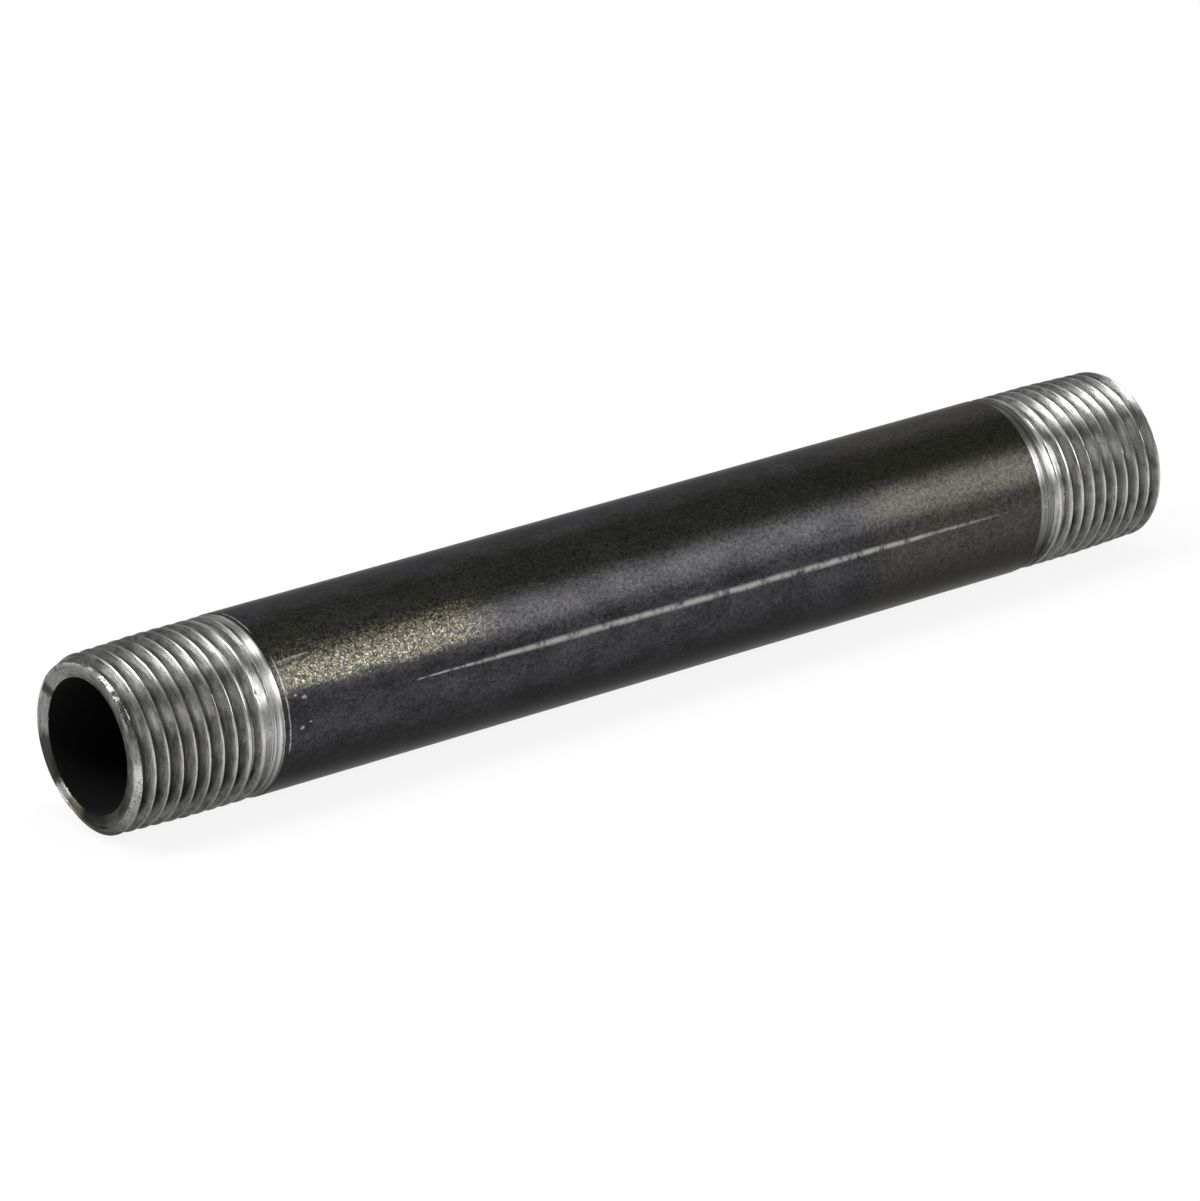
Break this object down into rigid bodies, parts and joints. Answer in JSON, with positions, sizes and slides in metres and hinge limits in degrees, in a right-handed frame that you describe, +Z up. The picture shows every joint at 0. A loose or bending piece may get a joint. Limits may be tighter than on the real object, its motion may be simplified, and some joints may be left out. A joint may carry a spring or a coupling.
{
  "type": "threaded pipe nipple",
  "caption": "Straight steel pipe nipple with a right-hand taper pipe thread at each end and a plain black-coated barrel between, joining two female-threaded fittings.",
  "frame": {"origin": "centre of the bore at mid-length", "axes": "X along the pipe, +Z up, -Y the side with the weld seam nearly facing it"},
  "size_m": [0.1524, 0.0214, 0.0214],
  "materials": {
    "bare_steel": "freshly cut thread, bare and bright, with tool marks",
    "weld_steel": "fused weld metal, flush with the wall",
    "black_finish": "thin black lacquer over mill scale, semi-gloss, scuffed"
  },
  "bodies": {
    "root": {"pipe_wall": "bare_steel", "weld_seam": "weld_steel", "black_coating": "black_finish"}
  },
  "joints": []
}
